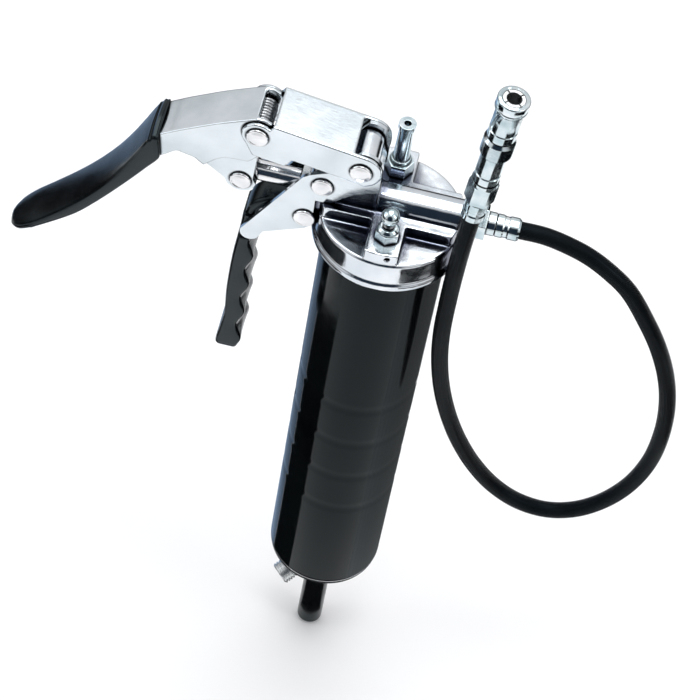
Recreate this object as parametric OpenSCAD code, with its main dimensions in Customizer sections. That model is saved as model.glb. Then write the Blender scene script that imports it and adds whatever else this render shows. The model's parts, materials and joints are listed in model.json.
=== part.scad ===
// Lever grease gun with a cartridge barrel, a linked squeeze handle and a hose with a coupler.
// Millimetres, +Z up along the barrel, +X towards the outlet, handle on -X.
// The origin is on the barrel axis where the barrel leaves the head's collar.

/* [Barrel] */
// Outside diameter of the barrel tube
barrel_d = 57; // [57:0.5:58]
// Wall of the barrel tube
barrel_wall = 1.5; // [1:0.1:1.8]
// Length of tube that shows below the head
barrel_length = 253.5; // [240:0.5:270]
// Number of rolled bands around the barrel
band_count = 4; // [0:1:4]
// Distance between neighbouring bands
band_pitch = 28; // [20:1:30]
// Depth of each rolled band
band_depth = 0.4; // [0.2:0.1:0.8]

/* [Follower] */
// Diameter of the follower rod
rod_d = 6.4; // [6:0.1:7]
// Diameter of the rod's hand grip
rod_grip_d = 13.2; // [10:0.2:14]
// Length of the rod's hand grip
rod_grip_length = 60; // [40:1:80]
// Turns of the follower spring
follower_turns = 13; // [8:1:16]

/* [Pump head] */
// Height of the collar that the barrel screws into
collar_h = 16; // [16:0.5:17]
// Height of the cross-shaped pads on the head
pad_h = 6; // [5:0.5:6]
// Radius of the half-round pump tube
pump_tube_r = 8; // [7.5:0.1:8]
// Diameter of the plunger
plunger_d = 9.5; // [9:0.1:9.6]

/* [Linkage] */
// Thickness of the pressed steel sheet
sheet_t = 2; // [1.6:0.1:2]
// Outside width of the swinging link
link_w = 24.8; // [24.8:0.1:26]
// Diameter of the pivot pins
pin_d = 6; // [5:0.1:6]
// Radius of the domed pin and rivet heads
dome_r = 4.9; // [4.2:0.1:5]

/* [Grips] */
// Width of the palm grip
palm_grip_w = 24; // [23:0.5:27]
// Width of the finger grip
finger_grip_w = 21; // [17:0.5:22]

/* [Hose and coupler] */
// Outside diameter of the hose
hose_d = 8; // [7:0.2:8.4]
// Lean of the coupler towards +X, in degrees
coupler_lean = 4; // [2:0.5:5]
// Radius of the coupler's mouth, closed on a nipple
mouth_r = 3.35; // [3.2:0.05:3.5]

/* [Hidden] */
$fn = 64;
fit = 0.06;            // radial clearance of a turning or sliding pin
barrel_r = barrel_d / 2;
bore_r = barrel_r - barrel_wall;
stub_r = barrel_r - 0.3;
pad_top = collar_h + pad_h;
pump_z = pad_top;      // height of the pump axis
pin_r = pin_d / 2;
rod_r = rod_d / 2;
plunger_r = plunger_d / 2;
cap_bottom = -barrel_length - 4;
cap_boss = 1.5;        // height of the boss round the rod
cap_inner = -barrel_length + 6;

// pivots in the X-Z plane
link_pivot = [-15.5, 49.6];
handle_pivot = [-61.8, 57];
plunger_pivot = [-67.2, pump_z];
tower_rivet_at = [-31, 32.3];
lug_rivet_at = [-36.8, 9.2];
link_dx = handle_pivot[0] - link_pivot[0];
link_dz = handle_pivot[1] - link_pivot[1];
link_length = sqrt(link_dx * link_dx + link_dz * link_dz);
link_slope = atan2(link_dz, -link_dx);

// sheet metal layers, as distances from the X-Z plane
link_out = link_w / 2;
link_in = link_out - sheet_t;
plate_out = link_in - 0.2;
plate_in = plate_out - sheet_t;
bracket_in = plate_in + 0.12;
lug_in = 5.2;

// outlet and hose
adapter_x = 34.6;
ferrule_x = 46;
hose_start_x = 57;
hose_r = hose_d / 2;

// coupler, measured up its own leaning axis from the end of the hose
coupler_foot = [35, -18, 46];
coupler_hex_z = 12;
coupler_ring_z = 23;
coupler_body_z = 25;
coupler_band_z = 42;
coupler_sleeve_z = 53;
coupler_lip_z = 71;
coupler_top_z = 77;

// filler nipple and bleeder valve on the head
filler_at = [-1.2, 18.5];
filler_h = 31;
bleeder_at = [1, -20.5];

// rod lock under the end cap, turned towards the near left
lock_turn = 223;
lever_top = cap_bottom - cap_boss - 5;
lever_bottom = lever_top - 2;
rod_grip_top = lever_bottom - 8;

// top line of the handle's channel, from the pivot end to the tip inside the palm grip
handle_top = [
    [-63.2, 65.3], [-72, 61], [-81.5, 56], [-94.5, 48.2], [-100.4, 44.3], [-105.6, 40.2], [-111.6, 30.4],
    [-119, 15], [-132, -8], [-149, -28], [-164, -42]
];
// top line of the palm grip and its lower edge
palm_top = [
    [-105, 43.4], [-110.5, 37.5], [-119.8, 18], [-133, -4.2], [-151, -25.6], [-164, -39], [-171, -46]
];
palm_bottom = [
    [-168, -49], [-162, -45], [-148.5, -32.5], [-132.3, -15.5], [-116, 7.5], [-103.4, 27.5]
];
// back of the finger grip, down from its arm, and its front, up from its foot
grip_back = [
    [-43.4, 12.4], [-49, 12.6], [-56, 11.2], [-61.8, 6], [-64.4, -2], [-65, -12], [-66.2, -26],
    [-66.9, -40], [-67.2, -56], [-66.8, -72], [-68, -84], [-69.2, -93], [-67.4, -99]
];
grip_front = [
    [-63.2, -101.4], [-59.4, -98.4], [-57.4, -90.2], [-59.6, -79.6], [-57.2, -68.6], [-59.4, -58.8],
    [-57, -48.6], [-59.2, -38.8], [-56.8, -27.6], [-58.4, -18], [-57.6, -8], [-56.6, -2],
    [-53.6, 4], [-48, 6.8], [-43.4, 7]
];
// centre line of the hose from the outlet ferrule to the coupler
hose_route = [
    [57, 0, 22], [68, 0, 22], [79, -0.5, 20], [90, -1, 16], [101, -1.5, 9], [111, -2, 0],
    [121, -3, -14], [131, -4, -31], [139, -5, -50], [144, -6, -70], [146, -7, -91],
    [145, -8, -112], [140, -9, -132], [131, -10, -149], [119, -11, -161], [105, -12, -166],
    [90, -13, -163], [76, -14, -153], [64, -15, -138], [54, -16, -120], [46, -17, -100],
    [40, -18, -79], [36, -19, -57], [34, -20, -35], [33.5, -20, -14], [33.5, -20, 6],
    [34, -19.4, 26], [35, -18, 46]
];

// ---------- shared shapes ----------

function arc(at, r, from, to, steps = 10) =
    [for (i = [0 : steps]) let (a = from + (to - from) * i / steps)
        [at[0] + r * cos(a), at[1] + r * sin(a)]];

function reversed(list) = [for (i = [len(list) - 1 : -1 : 0]) list[i]];

// point between b and c on a smooth curve through a, b, c and d
function between(a, b, c, d, t) =
    0.5 * (2 * b + (c - a) * t + (2 * a - 5 * b + 4 * c - d) * t * t
        + (3 * b - a - 3 * c + d) * t * t * t);

// smooth curve through a list of points, with some steps in each stretch
function smooth(p, steps) = concat(
    [for (i = [0 : len(p) - 2], k = [0 : steps - 1])
        between(p[max(i - 1, 0)], p[i], p[i + 1], p[min(i + 2, len(p) - 1)], k / steps)],
    [p[len(p) - 1]]);

function unit(v) = v / norm(v);

// the same line moved sideways by d, to the left of its direction
function beside(p, d) = [for (i = [0 : len(p) - 1])
    let (t = unit(p[min(i + 1, len(p) - 1)] - p[max(i - 1, 0)])) p[i] + d * [-t[1], t[0]]];

// a flat outline in the X-Z plane, thick from y0 to y1
module slab(outline, y0, y1) {
    translate([0, y1, 0]) rotate([90, 0, 0]) linear_extrude(y1 - y0) polygon(outline);
}

// the same outline as two plates, one each side of the X-Z plane
module pair(outline, inner, outer) {
    slab(outline, -outer, -inner);
    slab(outline, inner, outer);
}

// round bar along Y through a point of the X-Z plane
module across(at, r, half) {
    translate([at[0], half, at[1]]) rotate([90, 0, 0]) cylinder(h = 2 * half, r = r);
}

// round bar along X on the pump axis
module along(x0, x1, r, sides = 64) {
    translate([x0, 0, pump_z]) rotate([0, 90, 0]) cylinder(h = x1 - x0, r = r, $fn = sides);
}

// pin with a low domed head at each end
module domed_pin(at, half) {
    dome_h = 2;
    ball_r = (dome_r * dome_r + dome_h * dome_h) / (2 * dome_h);
    across(at, pin_r, half + 0.2);
    for (side = [-1, 1]) translate([at[0], side * half, at[1]]) rotate([-90 * side, 0, 0])
        rotate_extrude() polygon(concat([[0, 0]], arc([0, dome_h - ball_r], ball_r,
            90 - asin(dome_r / ball_r), 90, 8)));
}

module hexagon(flats, h) {
    cylinder(h = h, r = flats / sqrt(3), $fn = 6);
}

// wire helix around the Z axis
module coil(r, wire_r, height, turns, sides = 6, steps = 12) {
    rings = turns * steps;
    points = [for (i = [0 : rings], k = [0 : sides - 1])
        let (a = 360 * i / steps, b = 360 * k / sides, d = r + wire_r * cos(b))
        [d * cos(a), d * sin(a), wire_r + (height - 2 * wire_r) * i / rings + wire_r * sin(b)]];
    tube_solid(points, rings + 1, sides);
}

// closed tube from rings of points
module tube_solid(points, rings, sides) {
    walls = [for (i = [0 : rings - 2], k = [0 : sides - 1], half = [0, 1])
        let (a = i * sides + k, b = i * sides + (k + 1) % sides, c = a + sides, d = b + sides)
        half == 0 ? [a, c, b] : [b, c, d]];
    first = [for (k = [0 : sides - 1]) k];
    last = [for (k = [sides - 1 : -1 : 0]) (rings - 1) * sides + k];
    polyhedron(points, concat(walls, [first, last]), convexity = 8);
}

module coupler_frame() {
    translate(coupler_foot) rotate([0, coupler_lean, 0]) children();
}

// ---------- barrel ----------

module barrel_tube() {
    edge = 1.2;
    bands = [for (i = [band_count - 1 : -1 : 0]) -100 - band_pitch * i];
    color("#15171a") rotate_extrude($fn = 96) polygon(concat(
        [[bore_r, -barrel_length], [barrel_r - edge, -barrel_length]],
        arc([barrel_r - edge, -barrel_length + edge], edge, -90, 0, 4),
        [for (z = bands, k = [0 : 3])
            [barrel_r - (k == 1 || k == 2 ? band_depth : 0), z + [-4, -3, 3, 4][k]]],
        [[barrel_r, 0], [stub_r, 0], [stub_r, 12], [bore_r, 12]]));
}

module end_cap() {
    plug_r = bore_r - 0.02;
    color("#15171a") difference() {
        rotate_extrude($fn = 96) polygon(concat(
            [[0, cap_inner], [plug_r, cap_inner], [plug_r, -barrel_length - 0.02],
             [barrel_r - 0.4, -barrel_length - 0.02]],
            arc([barrel_r - 2.2, cap_bottom + 1.8], 1.8, 0, -90, 5),
            [[9.5, cap_bottom], [9, cap_bottom - cap_boss], [0, cap_bottom - cap_boss]]));
        translate([0, 0, -barrel_length]) cylinder(h = 7, r = bore_r - 2, $fn = 96);
        translate([0, 0, cap_bottom - 5]) cylinder(h = 20, r = rod_r + 0.08);
    }
}

module follower_spring() {
    color("silver") translate([0, 0, -barrel_length]) coil(20, 1.2, barrel_length - 18, follower_turns);
}

module lock_bracket() {
    color("silver") rotate([0, 0, lock_turn]) {
        translate([-17.9, -5, lever_bottom - 2.4]) cube([2, 10, cap_bottom - lever_bottom + 2.4]);
        translate([-15.9, -5, lever_bottom - 2.4]) cube([4, 10, 2]);
    }
}

module lock_spring() {
    color("silver") translate([0, 0, lever_top]) coil(4.9, 0.5, 5, 3);
}

module lock_lever() {
    color("silver") rotate([0, 0, lock_turn]) difference() {
        union() {
            slab([[-14.6, lever_top], [12, lever_top], [20, lever_top - 6.05],
                  [19.15, lever_top - 8], [11.3, lever_bottom], [-14.6, lever_bottom]], -6, 6);
            across([-14.6, lever_top - 1], 1, 6);
        }
        translate([0, 0, lever_bottom - 1]) cylinder(h = 4, r = rod_r + 0.4);
    }
}

module lock_button() {
    ridge_x = [for (i = [0 : 3]) 0.6 + i * 1.5];
    color("silver") rotate([0, 0, lock_turn]) translate([19.6, 0, lever_top - 7])
        rotate([0, 90 + 24, 0]) rotate_extrude() polygon(concat([[0, 0], [5.2, 0]],
            [for (x = ridge_x, k = [0 : 3]) [k == 1 || k == 2 ? 6 : 5.4, x + [0, 0.25, 0.85, 1.1][k]]],
            [[5.2, 6.6], [0, 6.6]]));
}

// ---------- follower ----------

module follower_rod() {
    color("silver") translate([0, 0, rod_grip_top - 20]) cylinder(h = -8 - rod_grip_top + 20, r = rod_r);
}

module rod_grip() {
    r = rod_grip_d / 2;
    foot = rod_grip_top - rod_grip_length;
    color("#141414") difference() {
        rotate_extrude() polygon(concat([[0, foot]], arc([r - 2, foot + 2], 2, -90, 0, 6),
            arc([r - 1.5, rod_grip_top - 1.5], 1.5, 0, 90, 5), [[0, rod_grip_top]]));
        translate([0, 0, rod_grip_top - 20]) cylinder(h = 21, r = rod_r);
    }
}

module follower_plate() {
    color("silver") rotate_extrude() polygon([[rod_r, -18], [23, -18], [23, -24], [24.5, -24],
        [24.5, -16], [rod_r, -16]]);
}

module follower_seal() {
    color("#202020") rotate_extrude() polygon([[rod_r, -16], [25.5, -16], [bore_r - 0.4, -14.5],
        [bore_r - 0.3, -6], [bore_r - 1.6, -6], [bore_r - 2, -13], [rod_r, -13]]);
}

module rod_nut() {
    color("silver") difference() {
        translate([0, 0, -13]) hexagon(10, 4);
        translate([0, 0, -14]) cylinder(h = 6, r = rod_r);
    }
}

// ---------- pump head ----------

module tower() {
    lug_r = 6.5;
    outline = concat(
        [[-31, collar_h - 2.4], [-7, collar_h - 2.4], [-7, 43]],
        arc(link_pivot, lug_r, 0, 110),
        arc(tower_rivet_at, lug_r, 105, 180),
        [[-38, pump_z + 4], [-38, 15.2]],
        arc(lug_rivet_at, lug_r - 0.3, 120, 290),
        [[-31, 4]]);
    slab(outline, -bracket_in, bracket_in);
    along(-38, -30, pump_tube_r);
}

module head_pads() {
    intersection() {
        translate([0, 0, collar_h]) cylinder(h = pad_h, r = 31.6, $fn = 96);
        union() {
            translate([-36, -13, collar_h - 1]) cube([72, 26, pad_h + 1]);
            translate([-7, -36, collar_h - 1]) cube([15, 36, pad_h + 1]);
            translate([-8.6, 0, collar_h - 1]) cube([15, 36, pad_h + 1]);
        }
    }
}

module head_casting() {
    collar_bore = stub_r + 0.05;
    lip_r = 34;
    color("#c9ced2") difference() {
        union() {
            rotate_extrude($fn = 96) polygon(concat(
                [[collar_bore, 0], [lip_r - 0.8, 0]], arc([lip_r - 0.8, 0.8], 0.8, -90, 0, 3),
                arc([lip_r - 0.8, 3.2], 0.8, 0, 90, 3), [[33, 4.2], [32.4, collar_h - 1]],
                [[31.6, collar_h], [0, collar_h], [0, collar_h - 3], [collar_bore, collar_h - 3]]));
            head_pads();
            tower();
            along(-10, adapter_x - 0.1, pump_tube_r);
        }
        along(-50, 8, plunger_r + 0.05);
        along(-40, -32, 6.5);
        along(7, 12, 2, 32);
        along(11, 24.01, 3.9);
        along(24, 40, 4.9);
        for (at = [link_pivot, tower_rivet_at, lug_rivet_at]) across(at, pin_r, 12);
        translate([-5, 0, 10]) cylinder(h = pump_z - 10, r = 2.5, $fn = 32);
        translate([filler_at[0], filler_at[1], 10]) cylinder(h = 20, r = 2, $fn = 32);
        translate([bleeder_at[0], bleeder_at[1], 10]) cylinder(h = 20, r = 1.8, $fn = 32);
        translate([3.5, -34, collar_h + 3.2]) rotate([-90, 0, 0]) cylinder(h = 6, r = 1.2, $fn = 24);
    }
}

module barrel_gasket() {
    color("#202020") translate([0, 0, 12.05]) difference() {
        cylinder(h = collar_h - 3 - 12.05, r = stub_r, $fn = 96);
        translate([0, 0, -1]) cylinder(h = 4, r = 24, $fn = 96);
    }
}

module grip_bracket() {
    plate = concat(
        [[-33.2, pad_top + 0.1], [-27, pad_top + 0.1], [-22, 27], [-17, 31.5], [-6.6, 36.5]],
        arc(link_pivot, 9.2, -15, 98, 12),
        [[-18.8, 55.6], [-22, 49.5], [-28, 42.5], [-36.5, 38.2]],
        [[-40, 35.5], [-64.4, -8.8]],
        arc([-60, -10], 4.4, 165, 330, 8),
        [[-54.2, -7.2], [-39, 0.5], [-36, 2], [-33.2, 5]]);
    web = [[-54.4, -7.4], [-39, 0.4], [-36, 1.9], [-36.8, 2.2], [-39.6, 2.4], [-55, -5.4]];
    color("#d3d7da") difference() {
        union() {
            pair(plate, bracket_in, plate_out);
            slab(web, -bracket_in - 0.5, bracket_in + 0.5);
        }
        for (at = [link_pivot, tower_rivet_at, lug_rivet_at]) across(at, pin_r, 12);
    }
}

module grip_core() {
    color("silver") slab([[-63.5, -8], [-60, -8], [-60, -60], [-64, -90], [-67, -90], [-66, -60]],
        -1.5, 1.5);
}

module finger_grip() {
    half = finger_grip_w / 2;
    outline = concat(smooth(grip_back, 3), smooth(grip_front, 3));
    color("#161616") difference() {
        intersection() {
            slab(outline, -half, half);
            union() {
                translate([-80, -plate_in + 0.05, -20]) cube([40, 2 * plate_in - 0.1, 34]);
                translate([-80, -half, -110]) cube([40, finger_grip_w, 94.9]);
            }
        }
        slab([[-63.5, -8], [-60, -8], [-60, -60], [-64, -90], [-67, -90], [-66, -60]], -1.5, 1.5);
    }
}

module tower_rivet() {
    color("white") domed_pin(tower_rivet_at, plate_out);
}

module lug_rivet() {
    color("white") domed_pin(lug_rivet_at, plate_out);
}

module link_pin() {
    color("white") domed_pin(link_pivot, link_out + 0.05);
}

module gland_nut() {
    color("silver") difference() {
        union() {
            translate([-41.5, 0, pump_z]) rotate([0, 90, 0]) rotate([0, 0, 30]) hexagon(13, 3.5);
            along(-38, -36, 6.45);
        }
        along(-50, -30, plunger_r + 0.07);
    }
}

module plunger_packing() {
    color("#2a2a2a") difference() {
        along(-36, -32.02, 6.45);
        along(-50, -30, plunger_r + 0.05);
    }
}

// ---------- valves on the head ----------

module filler_body() {
    color("#b8c4cc") translate([filler_at[0], filler_at[1], pad_top]) difference() {
        union() {
            hexagon(11, 7);
            cylinder(h = 9, r = 4.4);
            cylinder(h = filler_h - 1, r1 = 3.9, r2 = 3.2);
            translate([0, 0, filler_h - 3]) cylinder(h = 3, r = 3.9);
        }
        translate([0, 0, filler_h - 6.5]) cylinder(h = 8, r = 1.6, $fn = 32);
        translate([0, 0, 6]) cylinder(h = filler_h - 12.5, r = 2.35, $fn = 32);
        translate([0, 0, -1]) cylinder(h = 8, r = 1.4, $fn = 32);
    }
}

module filler_spring() {
    color("silver") translate([filler_at[0], filler_at[1], pad_top + 6])
        coil(1.8, 0.3, filler_h - 17.8, 8, 5, 8);
}

module filler_ball() {
    color("white") translate([filler_at[0], filler_at[1], pad_top + filler_h - 9.9]) sphere(r = 2.2);
}

module bleeder_body() {
    color("#b8c4cc") translate([bleeder_at[0], bleeder_at[1], pad_top]) difference() {
        union() {
            rotate([0, 0, 30]) hexagon(10, 5);
            translate([0, 0, 5]) rotate_extrude() polygon([[0, -0.5], [4.6, -0.5], [4.9, 0.5],
                [4.6, 1], [3.6, 2], [0, 2]]);
        }
        translate([0, 0, -1]) cylinder(h = 9, r = 1.58, $fn = 32);
    }
}

module bleeder_spring() {
    color("silver") translate([bleeder_at[0], bleeder_at[1], pad_top + 7]) coil(2.3, 0.3, 2, 2, 5, 10);
}

module bleeder_valve() {
    color("#c8d0d6") translate([bleeder_at[0], bleeder_at[1], pad_top]) {
        cylinder(h = 12, r = 1.5, $fn = 32);
        translate([0, 0, 13.2]) sphere(r = 4.2);
    }
}

// ---------- outlet and hose ----------

module outlet_adapter() {
    color("#b8c4cc") difference() {
        union() {
            along(24.2, adapter_x, 4.88);
            translate([adapter_x, 0, pump_z]) rotate([0, 90, 0]) hexagon(14, 7.6);
            along(adapter_x + 7, ferrule_x, 5.4);
        }
        along(20, 50, 1.6, 32);
        along(24, 28, 3.3, 32);
    }
}

module outlet_spring() {
    color("silver") translate([16.4, 0, pump_z]) rotate([0, 90, 0]) coil(2.6, 0.35, 8.6, 4, 5, 10);
}

module outlet_ball() {
    color("white") translate([13.3, 0, pump_z]) sphere(r = 3);
}

// crimped sleeve of length h
module crimp(h) {
    rotate_extrude() polygon([[0, 0], [4.8, 0], [5.3, 0.6], [5.3, h * 0.3], [4.9, h * 0.36],
        [4.9, h * 0.5], [5.3, h * 0.56], [5.3, h - 1], [4.6, h], [0, h]]);
}

module hose_ferrule() {
    color("#b8c4cc") translate([ferrule_x, 0, pump_z]) rotate([0, 90, 0]) difference() {
        crimp(hose_start_x - ferrule_x);
        translate([0, 0, -1]) cylinder(h = 20, r = 1.6, $fn = 32);
    }
}

module hose() {
    sides = 10;
    path = smooth(hose_route, 2);
    last = len(path) - 1;
    points = [for (i = [0 : last], k = [0 : sides - 1])
        let (t = i == 0 ? [1, 0, 0] : i == last ? [sin(coupler_lean), 0, cos(coupler_lean)]
                : unit(path[i + 1] - path[i - 1]),
            side = unit(cross(t, [0, 1, 0])), up = cross(side, t), a = 360 * k / sides)
        path[i] + hose_r * (cos(a) * side + sin(a) * up)];
    color("#17181a") tube_solid(points, last + 1, sides);
}

// ---------- coupler ----------

module coupler_ferrule() {
    color("#b8c4cc") coupler_frame() difference() {
        crimp(coupler_hex_z);
        translate([0, 0, -1]) cylinder(h = 20, r = 1.6, $fn = 32);
    }
}

module coupler_adapter() {
    color("#b8c4cc") coupler_frame() difference() {
        union() {
            translate([0, 0, coupler_hex_z]) hexagon(11.5, coupler_ring_z - coupler_hex_z);
            translate([0, 0, coupler_ring_z]) cylinder(h = 2, r = 6);
        }
        translate([0, 0, 8]) cylinder(h = 20, r = 1.6, $fn = 32);
    }
}

module coupler_body() {
    color("#b8c4cc") coupler_frame() difference() {
        union() {
            translate([0, 0, coupler_body_z]) cylinder(h = 30, r = 5.6);
            translate([0, 0, coupler_band_z]) rotate_extrude() polygon([[0, 0], [5.8, 0], [6.9, 1.4],
                [6.9, 9.4], [5.9, 10.9], [0, 10.9]]);
            translate([0, 0, coupler_sleeve_z - 1]) cylinder(h = 8, r = 4.9);
        }
        translate([0, 0, 20]) cylinder(h = 45, r = 1.6, $fn = 32);
        translate([0, 0, coupler_sleeve_z - 0.1]) difference() {
            cylinder(h = 20, r = 9);
            cylinder(h = 20, r = 4.9);
        }
    }
}

module coupler_seal() {
    color("#202020") coupler_frame() translate([0, 0, coupler_sleeve_z + 7.02]) difference() {
        cylinder(h = 2.9, r = 4.6, $fn = 32);
        translate([0, 0, -1]) cylinder(h = 5, r = 1.6, $fn = 32);
    }
}

module coupler_jaws() {
    jaw_z = coupler_sleeve_z + 10;
    color("#8d969c") coupler_frame() difference() {
        translate([0, 0, jaw_z]) cylinder(h = coupler_top_z - 0.6 - jaw_z, r = 4.75);
        translate([0, 0, jaw_z - 1]) cylinder(h = 30, r = mouth_r);
        for (turn = [0, 90]) rotate([0, 0, turn + 45]) translate([-10, -0.3, jaw_z - 1]) cube([20, 0.6, 30]);
    }
}

module coupler_sleeve() {
    start = coupler_sleeve_z + 0.1;
    color("#b8c4cc") coupler_frame() rotate_extrude() polygon([[4.96, start], [5.6, start],
        [6.1, start + 0.6], [6.1, coupler_lip_z - 1], [7, coupler_lip_z], [7.1, coupler_top_z - 1.2],
        [6.2, coupler_top_z], [4.96, coupler_top_z]]);
}

// ---------- moving linkage ----------

module plunger() {
    color("#dfe3e6") difference() {
        union() {
            along(-63.5, -10, plunger_r);
            across(plunger_pivot, 7, 4.9);
        }
        for (dz = [-0.9, 0.9]) across([plunger_pivot[0], plunger_pivot[1] + dz], pin_r + 0.25, 8);
        slab([[plunger_pivot[0] - 3.25, pump_z - 0.9], [plunger_pivot[0] + 3.25, pump_z - 0.9],
              [plunger_pivot[0] + 3.25, pump_z + 0.9], [plunger_pivot[0] - 3.25, pump_z + 0.9]], -8, 8);
    }
}

// the link lies along -X from its pivot, turned up by the link's slope
module link_channel() {
    reach = -link_length;
    flange = concat(
        arc([0, 0], 9, -70, 90, 14),
        [[reach + 5.2, 9]],
        arc([reach, 0], 7.2, 55, 235, 12),
        [[reach + 0.6, -12.6], [-31.5, -12.8], [-29.5, -7.6], [0, -7.9]]);
    color("#d3d7da") translate([link_pivot[0], 0, link_pivot[1]]) rotate([0, link_slope, 0]) difference() {
        union() {
            pair(flange, link_in, link_out);
            translate([reach + 5.2, -link_out, 9 - sheet_t]) cube([-reach - 10.7, link_w, sheet_t]);
        }
        across([0, 0], pin_r + fit, 20);
        across([reach, 0], pin_r, 20);
    }
}

module handle_pin() {
    color("white") domed_pin(handle_pivot, link_out);
}

module return_spring() {
    color("silver") translate([handle_pivot[0], 7.4, handle_pivot[1]]) rotate([90, 0, 0])
        coil(4.4, 0.8, 14.8, 8, 6, 14);
}

module handle_channel() {
    top = smooth(handle_top, 4);
    web = concat(top, reversed(beside(top, sheet_t)));
    flange = concat(top,
        [[-160, -43.5], [-148, -32.3], [-132.3, -14.5], [-116.5, 8], [-105.5, 25.5], [-103.8, 27],
         [-96.4, 33.6], [-88.3, 31.7], [-84, 28], [-79, 33.5], [-75, 36.3], [-64.5, 37],
         [-60.5, 42], [-57, 50]],
        arc(handle_pivot, 8.4, -35, 80, 10));
    color("#d3d7da") difference() {
        union() {
            pair(flange, plate_in, plate_out);
            slab(web, -plate_out, plate_out);
        }
        across(handle_pivot, pin_r + fit, 20);
    }
}

module handle_lugs() {
    outline = concat(
        [[-61.9, 24], [-61.2, 38], [-62.5, 47], [-80, 47], [-86, 41], [-86, 29.5], [-81.5, 26.5]],
        arc(plunger_pivot, 7, 190, 350, 10));
    color("#c9ced2") difference() {
        pair(outline, lug_in, plate_in);
        across(plunger_pivot, pin_r, 20);
    }
}

module plunger_pin() {
    color("white") domed_pin(plunger_pivot, plate_in);
}

module palm_grip() {
    half = palm_grip_w / 2;
    outline = concat(smooth(palm_top, 4), smooth(palm_bottom, 4));
    inner_top = smooth(handle_top, 4);
    hollow = concat(inner_top, [[-160, -60], [-90, 0], [-60, 40]]);
    color("#161616") difference() {
        slab(outline, -half, half);
        slab(hollow, -plate_out, plate_out);
    }
}

barrel_tube();
end_cap();
follower_spring();
lock_bracket();
lock_spring();
lock_lever();
lock_button();
follower_rod();
rod_grip();
follower_plate();
follower_seal();
rod_nut();
head_casting();
barrel_gasket();
grip_bracket();
grip_core();
finger_grip();
tower_rivet();
lug_rivet();
link_pin();
gland_nut();
plunger_packing();
filler_body();
filler_spring();
filler_ball();
bleeder_body();
bleeder_spring();
bleeder_valve();
outlet_adapter();
outlet_spring();
outlet_ball();
hose_ferrule();
hose();
coupler_ferrule();
coupler_adapter();
coupler_body();
coupler_seal();
coupler_jaws();
coupler_sleeve();
plunger();
link_channel();
handle_pin();
return_spring();
handle_channel();
handle_lugs();
plunger_pin();
palm_grip();
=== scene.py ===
"""Studio scene of a lever grease gun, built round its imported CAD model. Metres, +Z up, outlet on +X."""

import json
import math

import bmesh
import bpy
from mathutils import Matrix, Vector


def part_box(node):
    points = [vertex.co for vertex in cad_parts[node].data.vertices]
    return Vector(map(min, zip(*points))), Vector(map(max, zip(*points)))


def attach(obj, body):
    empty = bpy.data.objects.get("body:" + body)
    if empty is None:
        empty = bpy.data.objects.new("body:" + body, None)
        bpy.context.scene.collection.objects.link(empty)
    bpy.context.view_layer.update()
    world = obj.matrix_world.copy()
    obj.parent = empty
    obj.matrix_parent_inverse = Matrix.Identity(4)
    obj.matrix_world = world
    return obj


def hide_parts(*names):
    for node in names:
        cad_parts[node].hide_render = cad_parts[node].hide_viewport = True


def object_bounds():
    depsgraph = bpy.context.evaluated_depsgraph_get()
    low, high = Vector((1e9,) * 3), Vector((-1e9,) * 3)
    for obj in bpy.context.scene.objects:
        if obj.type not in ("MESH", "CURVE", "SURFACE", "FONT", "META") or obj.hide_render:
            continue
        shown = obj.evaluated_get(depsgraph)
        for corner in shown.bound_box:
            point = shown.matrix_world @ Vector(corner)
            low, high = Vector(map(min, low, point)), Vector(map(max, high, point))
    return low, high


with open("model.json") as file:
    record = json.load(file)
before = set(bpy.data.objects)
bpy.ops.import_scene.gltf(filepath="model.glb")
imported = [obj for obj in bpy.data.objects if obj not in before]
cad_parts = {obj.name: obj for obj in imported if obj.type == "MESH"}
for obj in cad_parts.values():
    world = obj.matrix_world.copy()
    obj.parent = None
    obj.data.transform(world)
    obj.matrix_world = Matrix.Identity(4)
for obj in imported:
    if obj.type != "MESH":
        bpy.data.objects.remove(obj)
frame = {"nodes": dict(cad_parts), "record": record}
CAD_LOW, CAD_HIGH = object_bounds()
MM = 0.001
HOSE_UV = "hose_wrap"
NODES = frame["nodes"]
RECORD = frame["record"]
SLOT_OF = {part["node"]: part["material_slot"] for part in RECORD["subparts"]}
BODY_OF = {node: body for body, nodes in RECORD["behaviour"]["bodies"].items() for node in nodes}
MOUNTS = {mount["name"]: mount for mount in RECORD["mounts"]}


# ---------- camera ----------

CAMERA_AT = (0.0272, -0.7364, 0.8895)
CAMERA_AZIMUTH = math.radians(2.58)
CAMERA_ELEVATION = math.radians(53.08)
CAMERA_ROLL = math.radians(11.19)
CAMERA_LENS = 133.1  # mm, on a 36 mm sensor


def add_camera():
    """The camera at the photograph's viewing angle."""
    back = Vector((math.sin(CAMERA_AZIMUTH) * math.cos(CAMERA_ELEVATION),
                   -math.cos(CAMERA_AZIMUTH) * math.cos(CAMERA_ELEVATION),
                   math.sin(CAMERA_ELEVATION)))
    level = (-back).cross(Vector((0, 0, 1))).normalized()
    upright = level.cross(-back)
    right = level * math.cos(CAMERA_ROLL) + upright * math.sin(CAMERA_ROLL)
    up = upright * math.cos(CAMERA_ROLL) - level * math.sin(CAMERA_ROLL)
    data = bpy.data.cameras.new("camera")
    data.lens = CAMERA_LENS
    data.clip_start = 0.05
    camera = bpy.data.objects.new("camera", data)
    camera.matrix_world = (Matrix.Translation(CAMERA_AT)
                           @ Matrix((right, up, back)).transposed().to_4x4())
    bpy.context.scene.collection.objects.link(camera)
    bpy.context.scene.camera = camera


# ---------- mesh helpers ----------

WIRE_END = 0.55  # radius of a wire's last ring, as a share of its own



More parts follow.
